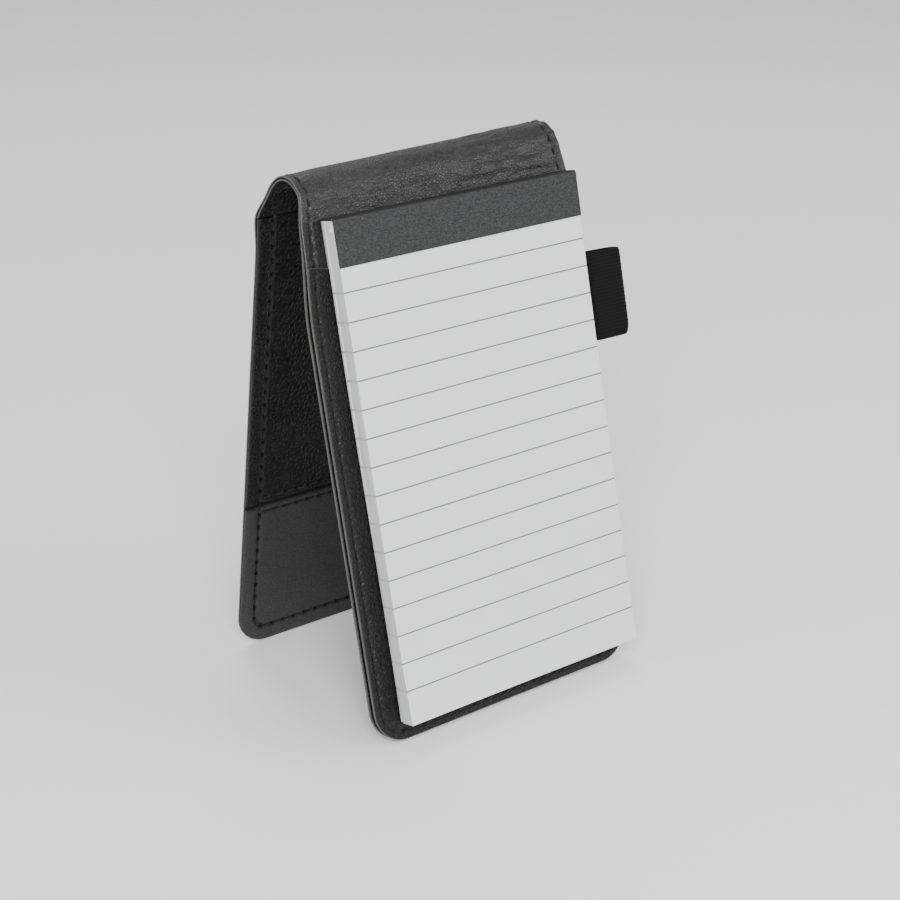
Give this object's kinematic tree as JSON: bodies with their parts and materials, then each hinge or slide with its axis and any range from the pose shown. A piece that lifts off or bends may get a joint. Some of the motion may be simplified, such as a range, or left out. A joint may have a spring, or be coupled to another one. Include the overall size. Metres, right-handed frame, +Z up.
{
  "type": "pocket notebook",
  "caption": "Top-opening pocket notebook: leather case folded back into a standing tent, ruled sheets bound at the head by a tape, elastic pen loop.",
  "frame": {"origin": "on the surface it stands on, under the middle of the whole object's box", "axes": "+Z up, +X to the pen loop's side, +Y from the pad's face to the flap behind it"},
  "size_m": [0.0997, 0.0728, 0.1394],
  "materials": {
    "skin": "black pebbled leather with a soft sheen",
    "smooth_skin": "black leather, nearly smooth",
    "lining": "black lining leather, fine grained",
    "board": "grey board",
    "card": "grey card",
    "glue": "padding glue",
    "paper": "white ruled paper",
    "tape": "dark grey bookcloth tape",
    "elastic": "black ribbed elastic webbing",
    "thread": "black sewing thread"
  },
  "bodies": {
    "spine": {"spine_skin": "skin", "spine_lining": "lining"},
    "pad_panel": {"panel_skin": "skin", "panel_board": "board", "panel_lining": "lining", "card_pocket": "skin", "panel_thread": "thread", "loop_tail": "elastic"},
    "flap": {"flap_skin_upper": "skin", "flap_skin_lower": "smooth_skin", "flap_strip": "skin", "flap_board": "board", "flap_lining": "lining", "flap_edge_thread": "thread", "flap_seam_thread": "thread"},
    "pad": {"backing_card": "card", "head_glue": "glue", "last_sheets": "paper", "page_block": "paper", "binding_tape": "tape"},
    "top_sheet_1": {"sheet_1": "paper"},
    "top_sheet_2": {"sheet_2": "paper"},
    "top_sheet_3": {"sheet_3": "paper"},
    "pen_loop": {"pen_loop": "elastic"}
  },
  "joints": [
    {"name": "near_fold", "type": "hinge", "parent": "spine", "child": "pad_panel", "pos_m": [-0.00785, 0.00367, 0.13545], "axis": [1, 0, 0], "range_deg": [-170, 11]},
    {"name": "far_fold", "type": "hinge", "parent": "spine", "child": "flap", "pos_m": [-0.00785, 0.01618, 0.13899], "axis": [-1, 0, 0], "range_deg": [-169, 11]},
    {"name": "pad_slide", "type": "slide", "parent": "pad_panel", "child": "pad", "axis": [0, 0.2453, 0.9694], "range_m": [0, 0.135]},
    {"name": "sheet_turn_1", "type": "hinge", "parent": "pad", "child": "top_sheet_1", "pos_m": [-0.00485, -0.00852, 0.11862], "axis": [-1, 0, 0], "range_deg": [0, 170]},
    {"name": "sheet_turn_2", "type": "hinge", "parent": "pad", "child": "top_sheet_2", "pos_m": [-0.00485, -0.00852, 0.11862], "axis": [-1, 0, 0], "range_deg": [0, 150]},
    {"name": "sheet_turn_3", "type": "hinge", "parent": "pad", "child": "top_sheet_3", "pos_m": [-0.00485, -0.00852, 0.11862], "axis": [-1, 0, 0], "range_deg": [0, 130]},
    {"name": "pen_loop_swing", "type": "hinge", "parent": "pad_panel", "child": "pen_loop", "pos_m": [0.0344, -0.00705, 0.09448], "axis": [0, 0.2453, 0.9694], "range_deg": [-30, 30], "stiffness_Nm_per_rad": 0.004}
  ],
  "couplings": [
    {"joint": "sheet_turn_2", "follows": "sheet_turn_1", "ratio": 0.88225},
    {"joint": "sheet_turn_3", "follows": "sheet_turn_1", "ratio": 0.76461}
  ]
}
